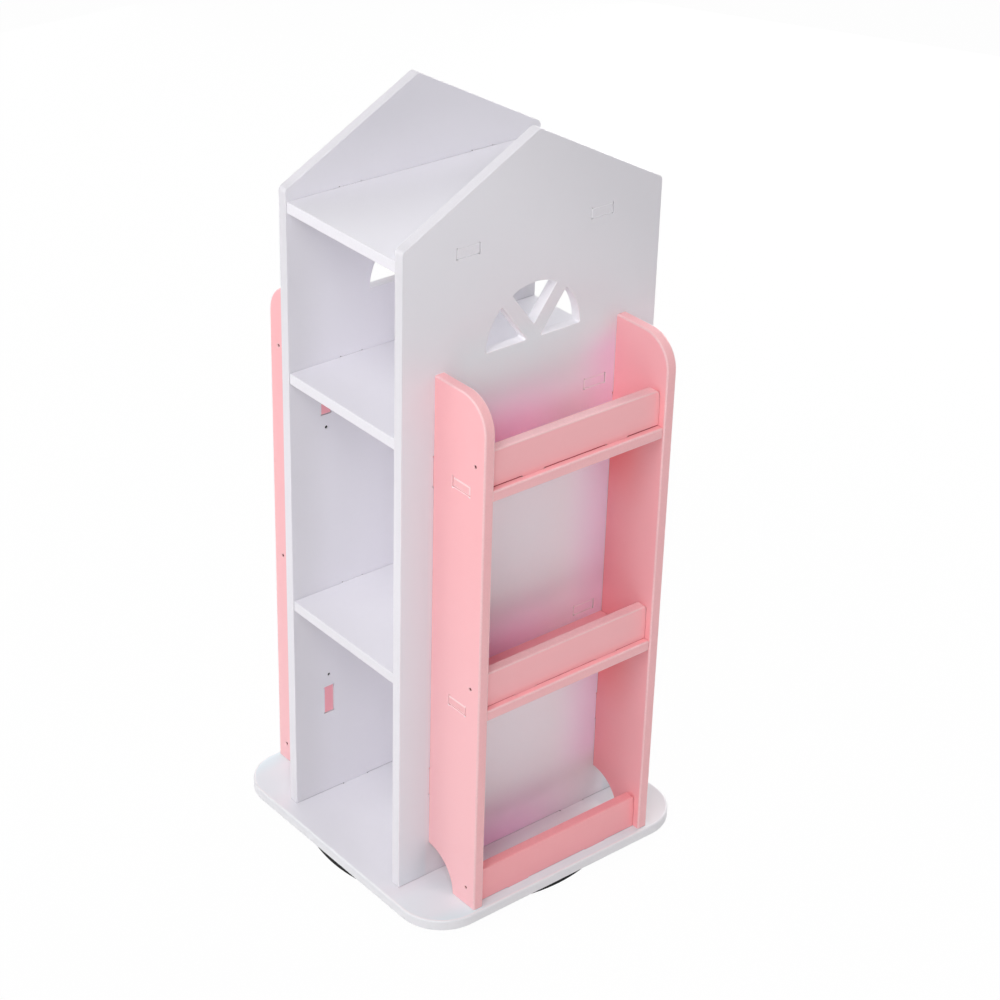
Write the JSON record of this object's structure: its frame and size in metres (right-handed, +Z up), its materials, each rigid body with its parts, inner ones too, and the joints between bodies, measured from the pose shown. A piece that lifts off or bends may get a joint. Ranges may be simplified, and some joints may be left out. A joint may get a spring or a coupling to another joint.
{
  "type": "revolving bookcase",
  "caption": "Child's revolving bookcase: a house of white boards with fan windows and open shelves, a pink book rack on each gable, turning on a round ball-bearing foot.",
  "frame": {"origin": "on the floor, at the middle of the foot, under the turning axis", "axes": "+Z up along the turning axis, X across the two gables, Y along the gables' depth with the open front at -Y"},
  "size_m": [0.451, 0.445, 1.0449],
  "materials": {
    "white_paint": "satin lacquer on fibre board",
    "pink_paint": "satin lacquer on fibre board",
    "black_paint": "matt lacquer on fibre board",
    "zinc_steel": "zinc plated",
    "black_steel": "black oxide",
    "bright_steel": "polished",
    "nylon": "moulded",
    "rubber": "matt"
  },
  "bodies": {
    "foot": {"foot_disc": "black_paint", "foot_pads": "rubber", "lower_race": "zinc_steel", "lower_race_screws": "zinc_steel"},
    "ball_ring": {"ball_cage": "nylon", "bearing_balls": "bright_steel"},
    "bookcase": {"upper_race": "zinc_steel", "upper_race_screws": "zinc_steel", "base_screws": "black_steel", "left_rack_screws": "black_steel", "right_rack_screws": "black_steel", "left_lip_screws": "black_steel", "right_lip_screws": "black_steel", "base_plate": "white_paint", "left_gable": "white_paint", "right_gable": "white_paint", "attic_shelf": "white_paint", "middle_shelf": "white_paint", "lower_shelf": "white_paint", "left_rack_front_board": "pink_paint", "left_rack_back_board": "pink_paint", "left_rack_upper_shelf": "pink_paint", "left_rack_lower_shelf": "pink_paint", "left_rack_upper_lip": "pink_paint", "left_rack_lower_lip": "pink_paint", "left_rack_bottom_lip": "pink_paint", "right_rack_front_board": "pink_paint", "right_rack_back_board": "pink_paint", "right_rack_upper_shelf": "pink_paint", "right_rack_lower_shelf": "pink_paint", "right_rack_upper_lip": "pink_paint", "right_rack_lower_lip": "pink_paint", "right_rack_bottom_lip": "pink_paint"}
  },
  "joints": [
    {"name": "turntable_spin", "type": "hinge", "parent": "foot", "child": "bookcase", "pos_m": [0, 0, 0.0135], "axis": [0, 0, 1], "continuous": true},
    {"name": "ball_ring_spin", "type": "hinge", "parent": "foot", "child": "ball_ring", "pos_m": [0, 0, 0.0135], "axis": [0, 0, 1], "continuous": true}
  ],
  "couplings": [
    {"joint": "ball_ring_spin", "follows": "turntable_spin", "ratio": 0.5}
  ]
}
